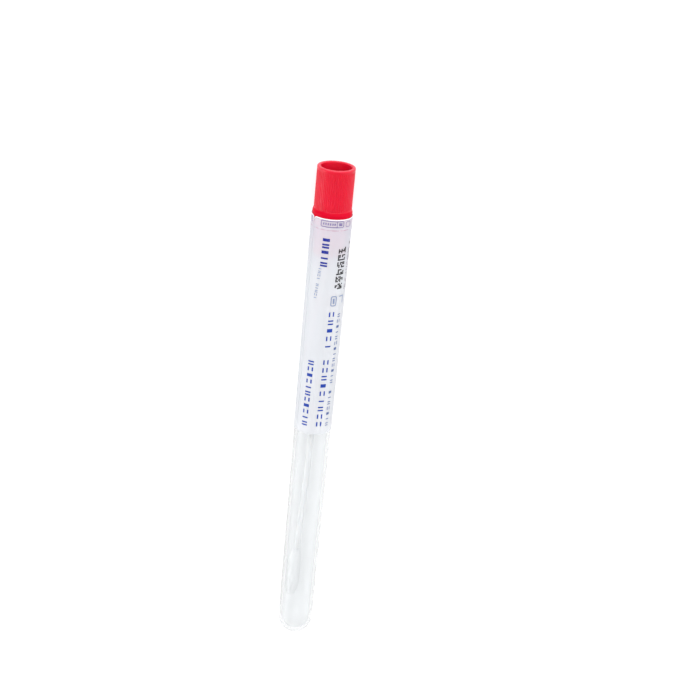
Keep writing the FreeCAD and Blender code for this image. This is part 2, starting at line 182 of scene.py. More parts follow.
class NodeSheet:
    """The node tree of a material or of the surroundings, with short calls to add its nodes."""

    def __init__(self, name: str, world: bool = False) -> None:
        """Starts a tree with its output node.

        Args:
            name: Name of the material or the surroundings.
            world: True for the surroundings.
        """
        self.owner = (bpy.data.worlds if world else bpy.data.materials).new(name)
        self.owner.use_nodes = True
        self.tree = self.owner.node_tree
        self.tree.nodes.clear()
        self.output = self.tree.nodes.new("ShaderNodeOutputWorld" if world else "ShaderNodeOutputMaterial")
        self.places = self.add("TexCoord", "Generated" if world else "Object")

    def add(self, kind: str, output: str | int, inputs: dict[str | int, object] | None = None,
            **settings: object) -> Socket:
        """Adds a node.

        Args:
            kind: Node type, without its ShaderNode prefix.
            output: Name or number of the output to return.
            inputs: A value, colour, vector or pattern for each named or numbered input.
            settings: Node properties by name.

        Returns:
            The output.
        """
        node = self.tree.nodes.new("ShaderNode" + kind)
        for name, value in settings.items():
            setattr(node, name, value)
        for key, value in (inputs or {}).items():
            if isinstance(value, Socket):
                self.tree.links.new(value, node.inputs[key])
            elif isinstance(value, tuple):
                node.inputs[key].default_value = (*value, 1)
            else:
                node.inputs[key].default_value = value
        return node.outputs[output]

    def show(self, shader: Socket) -> None:
        """Makes a shader the tree's surface."""
        self.tree.links.new(shader, self.output.inputs["Surface"])

    def noise(self, *stretch: float, detail: float = 3.0, seed: float = 0.0) -> Socket:
        """Adds a noise pattern in the piece's own coordinates.

        Args:
            stretch: Features per metre along X, Y and Z; the last number given stands for the rest.
            detail: Octaves of finer noise.
            seed: Shift of the pattern.

        Returns:
            The noise value, around 0.5.
        """
        shift = Vector((seed, seed * 0.7, seed * 1.3))
        scale = Vector((*stretch, stretch[-1], stretch[-1])[:3])
        mapped = {"Vector": self.places, "Scale": scale, "Location": shift}
        places = self.add("Mapping", "Vector", mapped)
        return self.add("TexNoise", "Fac", {"Vector": places, "Scale": 1.0, "Detail": detail})

    def ranged(self, source: Socket, low: float = 0.0, high: float = 1.0,
               start: float = 0.3, end: float = 0.7) -> Socket:
        """Maps a value from the range start to end onto the range low to high."""
        inputs = {"From Min": start, "From Max": end, "To Min": low, "To Max": high, "Value": source}
        return self.add("MapRange", "Result", inputs)

    def blended(self, factor: Socket, under: Socket | Colour, over: Colour) -> Socket:
        """Lays a colour over another colour or a pattern, by a factor from 0 to 1."""
        return self.add("Mix", "Result", {"A": under, "B": over, "Factor": factor}, data_type="RGBA")

    def along(self, axis: str) -> Socket:
        """Returns the place along an axis."""
        return self.add("SeparateXYZ", axis, {0: self.places})

    def product(self, first: Socket, second: Socket | float) -> Socket:
        """Returns the product of two values."""
        return self.add("Math", 0, {0: first, 1: second}, operation="MULTIPLY")

    def bumped(self, height: Socket, strength: float, depth: float) -> Socket:
        """Turns a height pattern into a surface normal, by its strength and its depth in metres."""
        return self.add("Bump", "Normal", {"Strength": strength, "Distance": depth, "Height": height})

    def surface(self, **sockets: float | Colour | Vector | Socket) -> Socket:
        """Adds the surface shader and shows it.

        Args:
            sockets: Values, colours or patterns by socket name, with _ for a space.

        Returns:
            The shader.
        """
        inputs = {key.replace("_", " "): value for key, value in sockets.items()}
        shader = self.add("BsdfPrincipled", "BSDF", inputs)
        self.show(shader)
        return shader

    def pass_lamps(self, shader: Socket, share: float, tint: Colour = (1.0, 1.0, 1.0)) -> None:
        """Lets part of the lamps' light through the surface, so that what is inside is lit.

        Args:
            shader: The surface shader.
            share: How much of the light gets through, from 0 to 1.
            tint: Colour of that light.
        """
        part = self.product(self.add("LightPath", "Is Shadow Ray"), share)
        clear = self.add("BsdfTransparent", "BSDF", {"Color": tint})
        self.show(self.add("MixShader", "Shader", {0: part, 1: shader, 2: clear}))


# ---- Finishes ----

@dataclass(frozen=True)
class ClearPlastic:
    """Clear moulded tube wall with faint draw lines and light handling marks."""

    tint: Colour = (0.875, 0.883, 0.888)
    deeper_tint: Colour = (0.866, 0.875, 0.881)
    refraction: float = 1.18
    lamp_tint: Colour = (0.985, 0.99, 0.992)

    def material(self) -> Material:
        """Makes the material.

        Returns:
            The material.
        """
        sheet = NodeSheet("clear_plastic")
        drawn = sheet.noise(30.0, 1400.0, detail=2.0)
        rubbed = sheet.noise(60.0, 160.0, detail=5.0, seed=3.0)
        shader = sheet.surface(
            Base_Color=sheet.blended(sheet.noise(25.0, 180.0), self.tint, self.deeper_tint),
            Roughness=sheet.ranged(rubbed, 0.17, 0.23),
            Normal=sheet.bumped(drawn, 0.01, 0.001 * MM),
            Transmission_Weight=1.0,
            IOR=self.refraction,
        )
        sheet.pass_lamps(shader, 1.0, self.lamp_tint)
        return sheet.owner


@dataclass(frozen=True)
class GrainedFinish:
    """A plain finish of two near colours with a fine even grain."""

    name: str
    colour: Colour
    other: Colour
    grain: float
    seed: float
    roughness: tuple[float, float]
    depth: float = 0.005 * MM
    span: tuple[float, float] = (0.3, 0.7)
    refraction: float = 1.5

    def material(self) -> Material:
        """Makes the material.

        Returns:
            The material.
        """
        sheet = NodeSheet(self.name)
        grain = sheet.noise(self.grain, detail=4.0, seed=self.seed)
        sheet.surface(
            Base_Color=sheet.blended(sheet.ranged(grain, 0.0, 1.0, *self.span), self.colour, self.other),
            Roughness=sheet.ranged(grain, *self.roughness),
            Normal=sheet.bumped(grain, 0.1, self.depth),
            IOR=self.refraction,
        )
        return sheet.owner


@dataclass(frozen=True)
class LipPlastic(GrainedFinish):
    """Satin tube plastic where the mould left the end of the wall dull."""

    name: str = "lip_plastic"
    colour: Colour = (0.80, 0.815, 0.83)
    other: Colour = (0.72, 0.735, 0.75)
    grain: float = 900.0
    seed: float = 6.0
    roughness: tuple[float, float] = (0.3, 0.45)
    depth: float = 0.01 * MM


@dataclass(frozen=True)
class BareFilm(GrainedFinish):
    """The unprinted white margin of the label."""

    name: str = "bare_film"
    colour: Colour = (0.93, 0.935, 0.945)
    other: Colour = (0.89, 0.895, 0.905)
    grain: float = 1800.0
    seed: float = 3.0
    roughness: tuple[float, float] = (0.45, 0.6)


@dataclass(frozen=True)
class Ink:
    """Printed ink, a little uneven where it sits on the film."""

    name: str
    colour: Colour
    thin: float = 0.06
    refraction: float = 1.3
    film: float = 0.8

    def material(self) -> Material:
        """Makes the material.

        Returns:
            The material.
        """
        pale: Colour = tuple(c + (self.film - c) * self.thin for c in self.colour)
        shine = (0.42, 0.6)
        ink = GrainedFinish("ink_" + self.name, self.colour, pale, 3500.0, 6.0, shine,
                            span=(0.4, 0.75), refraction=self.refraction)
        return ink.material()


@dataclass(frozen=True)
class RedPlastic:
    """Moulded red cap plastic: satin and a little uneven, with a painted highlight along the rim, broken up
    like wear, and painted shade deepening the plain flange.
    """

    colour: Colour = (0.70, 0.004, 0.030)
    deeper: Colour = (0.65, 0.003, 0.022)
    # Painted shade: a deeper red laid on the plain flange and its shoulder to darken them.
    plain: Colour = (0.62, 0.003, 0.022)
    plain_end: float = 71.0 * MM
    plain_blend: float = 0.5 * MM
    plain_shine: float = 0.04
    shine: float = 0.5
    # Painted highlight along the rim's edge: a lighter red, broken up like wear.
    rim_wear_and_highlight: Colour = (0.75, 0.032, 0.075)
    rim: float = 83.975 * MM
    wear_and_highlight_depth: float = 0.32 * MM

    def material(self) -> Material:
        """Makes the material.

        Returns:
            The material.
        """
        sheet = NodeSheet("red_plastic")
        cloudy = sheet.ranged(sheet.noise(160.0, 220.0, detail=4.0))
        rubbed = sheet.ranged(sheet.noise(1500.0, 900.0, detail=4.0, seed=7.0), 0.35, 1.0)
        along, grip = sheet.along("X"), (self.plain_end - self.plain_blend, self.plain_end)
        body = sheet.blended(cloudy, self.colour, self.deeper)
        # Painted shade: the deeper red over the plain flange, fading out where the ribbed grip starts.
        body = sheet.blended(sheet.ranged(along, 1.0, 0.0, *grip), body, self.plain)
        # Painted highlight on the last stretch of the rim, broken up by the rubbed pattern like wear.
        edge = sheet.ranged(along, 0.0, 1.0, self.rim - self.wear_and_highlight_depth, self.rim)
        sheet.surface(
            Base_Color=sheet.blended(sheet.product(edge, rubbed), body, self.rim_wear_and_highlight),
            Roughness=sheet.ranged(sheet.noise(500.0, 900.0, seed=5.0), 0.33, 0.45),
            Normal=sheet.bumped(sheet.noise(5200.0, seed=1.0), 0.1, 0.01 * MM),
            IOR=1.40,
            Specular_IOR_Level=sheet.ranged(along, self.plain_shine, self.shine, *grip),
            Subsurface_Weight=0.30,
            Subsurface_Radius=Vector((1.0, 0.25, 0.2)),
            Subsurface_Scale=1.0 * MM,
        )
        return sheet.owner


@dataclass(frozen=True)
class LabelFilm:
    """Thin satin film of the label, which lets a little of what is under it show; the red plug's glow and
    shade under it are also painted in towards the joint, and painted shade lies along the crease.
    """

    colour: Colour = (0.72, 0.742, 0.772)
    warmer: Colour = (0.74, 0.738, 0.768)
    # Painted glow and shade of the red plug under the film: a darker, rosier tone.
    painted_plug_glow: Colour = (0.683, 0.682, 0.755)
    # Painted shade along the crease over the cap's joint, tinged with the cap's red.
    creased: Colour = (0.58, 0.36, 0.45)
    cover: float = 0.60
    lamp_share: float = 0.72
    lamp_tint: Colour = (0.99, 0.99, 1.0)
    joint: float = 65.35 * MM
    crease_width: float = 0.22 * MM
    # Length over which the painted plug glow rises to the joint.
    plug_glow_zone: float = 15.0 * MM

    def material(self) -> Material:
        """Makes the material.

        Returns:
            The material.
        """
        sheet = NodeSheet("label_film")
        mottle = sheet.ranged(sheet.noise(90.0, 260.0, detail=5.0))
        fibrous = sheet.noise(2600.0, 4200.0, detail=4.0, seed=2.0)
        along = sheet.along("X")
        # Painted plug glow: rises from nothing to full over the last stretch before the joint.
        plug_glow_zone = sheet.ranged(along, 0.0, 1.0, self.joint - self.plug_glow_zone, self.joint)
        film = sheet.blended(plug_glow_zone, sheet.blended(mottle, self.colour, self.warmer), self.painted_plug_glow)
        before = sheet.ranged(along, 0.0, 1.0, self.joint - self.crease_width, self.joint)
        after = sheet.ranged(along, 1.0, 0.0, self.joint, self.joint + self.crease_width)
        broken = sheet.ranged(sheet.noise(300.0, 620.0, detail=4.0, seed=9.0), 0.0, 1.0, 0.44, 0.58)
        # Painted shade along the crease, broken up by noise.
        crease = sheet.product(sheet.product(before, after), broken)
        shader = sheet.surface(
            Base_Color=sheet.blended(crease, film, self.creased),
            Roughness=sheet.ranged(sheet.noise(700.0, seed=4.0), 0.55, 0.7),
            Normal=sheet.bumped(fibrous, 0.12, 0.01 * MM),
            Alpha=self.cover,
        )
        sheet.pass_lamps(shader, self.lamp_share, self.lamp_tint)
        return sheet.owner


@dataclass(frozen=True)
class StickPlastic:
    """Milky drawn stick of the swab, with fine lines along it."""

    colour: Colour = (0.625, 0.632, 0.637)
    deeper: Colour = (0.60, 0.607, 0.613)
    lamp_share: float = 0.6

    def material(self) -> Material:
        """Makes the material.

        Returns:
            The material.
        """
        sheet = NodeSheet("stick_plastic")
        lines = sheet.noise(25.0, 5200.0)
        shader = sheet.surface(
            Base_Color=sheet.blended(sheet.noise(60.0, 300.0, seed=2.0), self.colour, self.deeper),
            Roughness=sheet.ranged(lines, 0.36, 0.5),
            Normal=sheet.bumped(lines, 0.3, 0.012 * MM),
            Specular_IOR_Level=0.15,
            Subsurface_Weight=0.9,
            Subsurface_Radius=Vector((1.0, 0.95, 0.9)),
            Subsurface_Scale=2.0 * MM,
        )
        sheet.pass_lamps(shader, self.lamp_share)
        return sheet.owner


@dataclass(frozen=True)
class BudFibre:
    """White wound fibre of the swab bud."""

    colour: Colour = (0.715, 0.72, 0.724)
    shaded: Colour = (0.625, 0.63, 0.634)
    lamp_share: float = 0.5

    def material(self) -> Material:
        """Makes the material.

        Returns:
            The material.
        """
        sheet = NodeSheet("bud_fibre")
        strands = sheet.noise(1500.0, 9000.0, 5200.0, detail=6.0)
        tufts = sheet.noise(900.0, detail=4.0, seed=8.0)
        shader = sheet.surface(
            Base_Color=sheet.blended(sheet.ranged(strands, 0.0, 1.0, 0.35, 0.65), self.shaded, self.colour),
            Roughness=sheet.ranged(tufts, 0.85, 1.0),
            Normal=sheet.bumped(strands, 0.6, 0.05 * MM),
            Sheen_Weight=0.35,
            Sheen_Roughness=0.5,
        )
        sheet.pass_lamps(shader, self.lamp_share)
        return sheet.owner


@dataclass(frozen=True)
class StudioWhite:
    """Plain pale floor of the studio, a light table, so that shadows on it stay faint."""

    colour: Colour = (0.40, 0.40, 0.40)
    shade: Colour = (0.393, 0.394, 0.396)
    glow: float = 0.66

    def material(self) -> Material:
        """Makes the material.

        Returns:
            The material.
        """
        sheet = NodeSheet("studio_white")
        sheet.surface(
            Base_Color=sheet.blended(sheet.noise(9.0), self.colour, self.shade),
            Roughness=sheet.ranged(sheet.noise(40.0, seed=1.0), 0.85, 0.95),
            Specular_IOR_Level=0.2,
            Emission_Color=(1.0, 1.0, 1.0),
            Emission_Strength=self.glow,
        )
        return sheet.owner


# ---- Tube ----

@dataclass(frozen=True)
class TubePlan:
    """Where the tube lies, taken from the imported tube."""

    tip: float
    mouth: float
    height: float
    mouth_radius: float

    @classmethod
    def from_frame(cls) -> "TubePlan":
        """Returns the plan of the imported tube."""
        low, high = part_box("tube")
        return cls(low.x, high.x, (low.z + high.z) / 2, (high.z - low.z) / 2)

    def point(self, x: float, radius: float, turn: float) -> Place:
        """Returns the point at a place along the tube, a distance from its axis and an angle round it."""
        return x, radius * math.sin(turn), self.height + radius * math.cos(turn)

    def rings(self, parts: MeshParts, outline: Outline, sides: int) -> list[list[int]]:
        """Turns an outline round the tube's axis and returns the rings of points that it makes."""
        turns = round_turns(sides)
        return [parts.add_points([self.point(x, r, t) for t in turns]) for x, r in outline]

    def tips(self, parts: MeshParts, outline: Outline) -> list[int]:
        """Adds the points on the axis level with an outline's two ends, and returns them."""
        return parts.add_points([self.point(x, 0.0, 0.0) for x, _ in (outline[0], outline[-1])])


@dataclass
class ClearTube:
    """The round-ended clear tube, turned as one closed wall."""

    plan: TubePlan
    end_radius: float = 5.75 * MM
    wall: float = 0.95 * MM
    end_wall: float = 1.2 * MM
    lip_round: float = 0.2 * MM
    lip_start: float = 0.3
    lip_proud: float = 0.008 * MM
    lip_sunk: float = -0.004 * MM
    segments: int = 144
    rows: int = 60
    end_rows: int = 20
    lip_rows: int = 6
    skin_rows: int = 5
    body: str = "tube"

    def section(self) -> Outline:
        """Draws the wall's outline.

        Returns:
            Places along the tube and radii, from the outer tip round the mouth to the inner tip.
        """
        right, bore = math.pi / 2, self.end_radius - self.wall
        outer = arc(self.plan.tip + self.end_radius, 0.0, self.end_radius, 2 * right, right, self.end_rows)
        outer_lip, inner_lip = self.corners(0.0, right, self.lip_rows)
        inner = arc(self.plan.tip + self.end_wall + bore, 0.0, bore, right, 2 * right, self.end_rows)
        return [*outer, *self.run(outer[-1], outer_lip[0]), *outer_lip,
                *inner_lip, *self.run(inner_lip[-1], inner[0]), *inner]

    def corners(self, lift: float, reach: float, steps: int) -> tuple[Outline, Outline]:
        """Draws the two rounded corners of the wall's end.

        Args:
            lift: How far they are moved outwards.
            reach: How far each one goes round from the mouth, in radians.
            steps: Points on each one.

        Returns:
            The outer corner, drawn towards the mouth, and the inner one, drawn away from it.
        """
        edge, size = self.plan.mouth - self.lip_round, self.lip_round + lift
        outside = self.plan.mouth_radius - self.lip_round
        inside = self.plan.mouth_radius - self.wall + self.lip_round
        return arc(edge, outside, size, reach, 0.0, steps), arc(edge, inside, size, 0.0, -reach, steps)

    def run(self, start: tuple[float, float], end: tuple[float, float]) -> Outline:
        """Returns the points of a straight wall between two points, without them."""
        return [tuple(p) for p in np.linspace(start, end, self.rows)[1:-1]]

    def build(self, finish: Material) -> Piece:
        """Builds the tube in place of the plain packed one.

        Args:
            finish: The clear plastic.

        Returns:
            The tube.
        """
        parts, outline = MeshParts(), self.section()
        rings = self.plan.rings(parts, outline[1:-1], self.segments)
        parts.add_spindle(rings, self.plan.tips(parts, outline))
        tube = parts.make("clear_tube", finish, sharp_above=60.0)
        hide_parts("tube")
        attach(tube, self.body)
        return tube

    def lip(self, finish: Material) -> Piece:
        """Builds the satin skin on the wall's end at the mouth.

        Args:
            finish: The satin plastic.

        Returns:
            The skin.
        """
        parts, reach = MeshParts(), math.pi / 2 - self.lip_start
        lifts = (self.lip_proud, self.lip_sunk)
        over, under = (sum(self.corners(lift, reach, self.skin_rows), []) for lift in lifts)
        rings = self.plan.rings(parts, over + under[::-1], self.segments)
        parts.add_grid([*rings, rings[0]], wrap=True)
        lip = parts.make("tube_mouth_lip", finish)
        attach(lip, self.body)
        return lip


# ---- Label ----

@dataclass
class LabelSheet:
    """The film label wrapped round the tube, butted at one seam and creased over the cap's joint."""

    plan: TubePlan
    thickness: float = 0.1 * MM
    seam_gap: float = 0.15 * MM
    seam_turn: float = math.radians(56.0)
    corner: float = 1.1 * MM
    corner_turn: float = math.radians(10.5)
    corner_columns: int = 14
    corner_crowding: float = 1.6
    middle_columns: int = 168
    taper: float = 0.003463
    flat_from: float = -0.88
    flat_blend: float = 0.25
    crease_depth: float = 0.05 * MM
    crease_width: float = 0.22 * MM
    crease_sway: float = 0.12 * MM
    puckers: int = 46
    pucker_height: float = 0.05 * MM
    pucker_shift: float = -0.35 * MM
    pucker_zone: float = 3 * MM
    ripple: float = 0.012 * MM
    ripple_length: float = 5.3 * MM
    ripple_drift: float = 9 * MM
    margin: float = 0.30 * MM
    margin_inset: float = 0.02 * MM
    margin_proud: float = 0.008 * MM
    margin_sunk: float = -0.004 * MM
    seed: int = 11
    body: str = "tube"

    def __post_init__(self) -> None:
        """Takes the sheet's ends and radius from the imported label, and draws its puckers."""
        low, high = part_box("label")
        self.low, self.top, self.top_radius = low.x, high.x, (high.z - low.z) / 2
        dice = random.Random(self.seed)
        spans = ((-math.pi, math.pi), (0.035, 0.11), (-0.9 * MM, 0.3 * MM), (0.16 * MM, 0.42 * MM),
                 (0.35, 1.0))
        self.pucker_list = [[dice.uniform(*span) for span in spans] for _ in range(self.puckers)]

    def radius(self, x: float) -> float:
        """Returns the outer radius of the flat sheet at a place along the tube."""
        return self.top_radius - self.taper * (self.top - x)

    def puckering(self, joint: float, turn: float) -> float:
        """Finds the height of the small puckers near the joint.

        Args:
            joint: Distance past the crease.
            turn: Angle round the tube, in radians.

        Returns:
            Height in metres.
        """
        if abs(joint) >= self.pucker_zone:
            return 0.0
        height = 0.0
        for centre, width, shift, length, share in self.pucker_list:
            away = ((turn - centre + math.pi) % TURN - math.pi) / width
            if abs(away) < 3:
                along = (joint - self.pucker_shift - shift) / length
                height += share * self.pucker_height * math.exp(-(away ** 2) - along ** 2)
        return height

    def relief(self, x: float, turn: float) -> float:
        """Finds how far the film stands out from its even wrap; it lies flat where the part rests.

        Args:
            x: Place along the tube.
            turn: Angle round it, in radians.

        Returns:
            Height in metres, negative where the film dips.
        """
        joint = x - self.plan.mouth - self.crease_sway * math.sin(3 * turn + 0.6)
        depth = self.crease_depth * (0.7 + 0.3 * math.sin(5 * turn))
        height = self.puckering(joint, turn) - depth * math.exp(-((joint / self.crease_width) ** 2))
        wave = math.sin(x / self.ripple_length + 2.1 * math.sin(turn * 2))
        height += self.ripple * wave * math.sin(3 * turn + x / self.ripple_drift)
        return height * min(1.0, max(0.0, (math.cos(turn) - self.flat_from) / self.flat_blend))

    def point(self, x: float, turn: float, lift: float = 0.0) -> Place:
        """Returns the point at a place along the tube, an angle round it and a height over the film."""
        return self.plan.point(x, self.radius(x) + self.relief(x, turn) + lift, turn)

    def columns(self) -> list[float]:
        """Lays out the sheet's columns, closer together at the corners.

        Returns:
            Their angles from the seam.
        """
        edge, steps = self.seam_gap / 2 / self.top_radius, np.linspace(0, 1, self.corner_columns)
        near = edge + self.corner_turn * steps ** self.corner_crowding
        middle = np.linspace(near[-1], TURN - near[-1], self.middle_columns)[1:-1]
        return [*near, *middle, *(TURN - near[::-1])]

    def cut_back(self, from_seam: float) -> float:
        """Finds how far a rounded corner cuts into a column.

        Args:
            from_seam: Angle from the seam, in radians.

        Returns:
            Length taken off the column at each end.
        """
        angle = min(from_seam, TURN - from_seam)
        inside = self.corner - (angle * self.top_radius - self.seam_gap / 2)
        if inside <= 0:
            return 0.0
        return self.corner - math.sqrt(max(0.0, self.corner ** 2 - inside ** 2))

    def cut_edge(self, finish: Material) -> Piece:
        """Builds the bare white margin that the cut leaves along the sheet's end at the cap.

        Args:
            finish: The bare film.

        Returns:
            The margin.
        """
        parts, rims = MeshParts(), []
        ring = ((self.margin, self.margin_sunk), (self.margin, self.margin_proud),
                (self.margin_inset, self.margin_proud), (self.margin_inset, self.margin_sunk))
        for angle in self.columns():
            turn, end = self.seam_turn + angle, self.top - self.cut_back(angle)
            rims.append(parts.add_points([self.point(end - back, turn, lift) for back, lift in ring]))
        parts.add_rod(rims[::-1])
        margin = parts.make("label_cut_edge", finish)
        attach(margin, self.body)
        return margin

    def stations(self) -> np.ndarray:
        """Lays out the sheet's rows, closer together at the joint.

        Returns:
            Their places along the tube.
        """
        near, past = self.plan.mouth - 2.4 * MM, self.plan.mouth + 1.0 * MM
        runs = ((self.low, near, 84), (near, past, 46), (past, self.top, 9))
        return np.concatenate([*[np.linspace(*run)[:-1] for run in runs], [self.top]])

    def build(self, finish: Material) -> Piece:
        """Builds the sheet in place of the plain packed one.

        Args:
            finish: The label film.

        Returns:
            The sheet.
        """
        parts, span = MeshParts(), self.top - self.low
        outer, inner = [], []
        for angle in self.columns():
            turn, cut = self.seam_turn + angle, self.cut_back(angle)
            places = self.low + cut + (self.stations() - self.low) * (span - 2 * cut) / span
            outer.append(parts.add_points([self.point(x, turn) for x in places]))
            inner.append(parts.add_points([self.point(x, turn, -self.thickness) for x in places]))
        parts.add_slab(inner, outer)
        sheet = parts.make("label_sheet", finish)
        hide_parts("label")
        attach(sheet, self.body)
        return sheet


class Mark(Enum):
    """The plain marks that a printed row is made of."""

    BLOCK = "block"
    SLIM = "slim"
    PAIR = "pair"
    DASHES = "dashes"


@dataclass(frozen=True)
class PrintLine:
    """The line that a printed row follows, in millimetres along the tube and degrees round it."""

    start: float
    end: float
    turn: float
    pitch: float
    skew: float = -0.20

    def stops(self) -> list[tuple[float, float]]:
        """Finds the evenly spaced stops of the row.

        Returns:
            Each stop's place along the tube and its angle.
        """
        count = round(abs(self.end - self.start) / self.pitch)
        places = [self.start + (self.end - self.start) * i / count for i in range(count + 1)]
        return [(x, self.turn + self.skew * (x - self.start)) for x in places]


@dataclass
class PrintLayer:
    """All the print of one ink, as thin plates on the label's face.

    Places are in millimetres along the tube and round its face, and angles in degrees, both from
    straight up towards +Y. A mark's sizes are shares of its room.
    """

    sheet: LabelSheet
    name: str
    lifts: tuple[float, float] = (0.010 * MM, -0.004 * MM)
    grain: float = 0.4 * MM
    dot_sides: int = 10
    stroke: float = 0.26
    full: float = 0.62
    dash: float = 0.8
    apart: float = 0.28
    parts: MeshParts = field(default_factory=MeshParts)

    def lay(self, spots: Outline, lift: float) -> list[int]:
        """Adds points at places along the tube and round its face, a height in metres above the film."""
        round_film = MM / self.sheet.top_radius
        return self.parts.add_points([self.sheet.point(x * MM, y * round_film, lift) for x, y in spots])

    def round_face(self, turn: float) -> float:
        """Returns the millimetres round the face for an angle."""
        return math.radians(turn) * self.sheet.top_radius / MM

    def block(self, x: float, y: float, length: float, width: float) -> None:
        """Prints a filled block.

        Args:
            x: Centre along the tube.
            y: Centre round the face.
            length: Size along the tube.
            width: Size round the face.
        """
        runs = [
            middle + np.linspace(-size / 2, size / 2, max(2, math.ceil(size * MM / self.grain) + 1))
            for middle, size in ((x, length), (y, width))
        ]
        layers = [[self.lay([(u, v) for v in runs[1]], lift) for u in runs[0]] for lift in self.lifts]
        self.parts.add_slab(*layers)

    def blocks(self, *blocks: tuple[float, float, float, float]) -> None:
        """Prints blocks, each given as its place along the tube, its angle, its length and its width."""
        for x, turn, length, width in blocks:
            self.block(x, self.round_face(turn), length, width)

    def dot(self, x: float, y: float, radius: float) -> None:
        """Prints a round dot.

        Args:
            x: Centre along the tube.
            y: Centre round the face.
            radius: Its radius.
        """
        ring = arc(x, y, radius, 0.0, TURN, self.dot_sides + 1)[:-1]
        rings = [self.lay(ring, lift) for lift in self.lifts]
        self.parts.add_spindle(rings, [self.lay([(x, y)], lift)[0] for lift in self.lifts])

    def outline(self, x: float, turn: float, length: float, width: float, line: float, corner: float) -> None:
        """Prints a rounded box as a line.

        Args:
            x: Centre along the tube.
            turn: Angle of its centre.
            length: Size along the tube.
            width: Size round the face.
            line: Width of the line.
            corner: Corner radius.
        """
        y, path, dense = self.round_face(turn), [], []
        for quarter, (sx, sy) in enumerate(((1, 1), (-1, 1), (-1, -1), (1, -1))):
            cx, cy = x + sx * (length / 2 - corner), y + sy * (width / 2 - corner)
            turns = np.linspace(quarter * math.pi / 2, (quarter + 1) * math.pi / 2, 5)
            path += [(cx + corner * math.cos(t), cy + corner * math.sin(t), t) for t in turns]
        for (ax, ay, t), (bx, by, _) in zip(path, [*path[1:], path[0]]):
            steps = max(1, math.ceil(math.hypot(bx - ax, by - ay) * MM / self.grain))
            dense += [(ax + (bx - ax) * s / steps, ay + (by - ay) * s / steps, t) for s in range(steps)]
        half, (up, down) = line / 2, self.lifts
        rows = [
            self.lay([(u + side * math.cos(t), v + side * math.sin(t)) for u, v, t in dense], lift)
            for side, lift in ((half, up), (half, down), (-half, down), (-half, up))
        ]
        self.parts.add_grid([*rows, rows[0]], wrap=True)

    def mark(self, kind: Mark, x: float, y: float, length: float, width: float) -> None:
        """Prints one mark of a row.

        Args:
            kind: Which mark.
            x: Centre along the tube.
            y: Centre round the face.
            length: Room along the tube.
            width: Room round the face.
        """
        stroke = self.stroke * width
        if kind is Mark.BLOCK:
            self.block(x, y, self.full * length, width)
        elif kind is Mark.SLIM:
            self.block(x, y, stroke, width)
        elif kind is Mark.PAIR:
            for side in (-1, 1):
                self.block(x + side * self.apart * length, y, stroke, width)
        else:
            for side in (-1, 1):
                self.block(x, y + side * (width - stroke) / 2, self.dash * length, stroke)

    def row(self, line: PrintLine, width: float, fill: float, order: Sequence[Mark],
            gaps: Sequence[int] = ()) -> None:
        """Prints a row of marks.

        Args:
            line: The row's line, through the middle of its marks.
            width: Height of the marks round the face.
            fill: Share of the pitch that a mark fills.
            order: The marks, taken in turn.
            gaps: Numbers of the marks left out.
        """
        for i, (x, turn) in enumerate(line.stops()):
            if i not in gaps:
                self.mark(order[i % len(order)], x, self.round_face(turn), fill * line.pitch, width)

    def matrix(self, line: PrintLine, width: float, radius: float, chance: float, seed: int) -> None:
        """Prints a band of small dots in groups of four columns, with some dots left out by chance.

        Args:
            line: The line through the band's middle.
            width: Height of the band round the face.
            radius: Radius of a dot.
            chance: Share of dots that are printed.
            seed: Seed of the pattern.
        """
        dice, last = random.Random(seed), round(width / line.pitch)
        for i, (x, turn) in enumerate(line.stops()):
            for k in range(last + 1 if i % 5 < 4 else 0):
                if dice.random() < chance:
                    self.dot(x, self.round_face(turn) + (k - last / 2) * line.pitch, radius)

    def build(self, finish: Material) -> Piece:
        """Makes the print as one piece on the label.

        Args:
            finish: The ink.

        Returns:
            The print.
        """
        print_piece = self.parts.make(self.name, finish)
        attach(print_piece, self.sheet.body)
        return print_piece


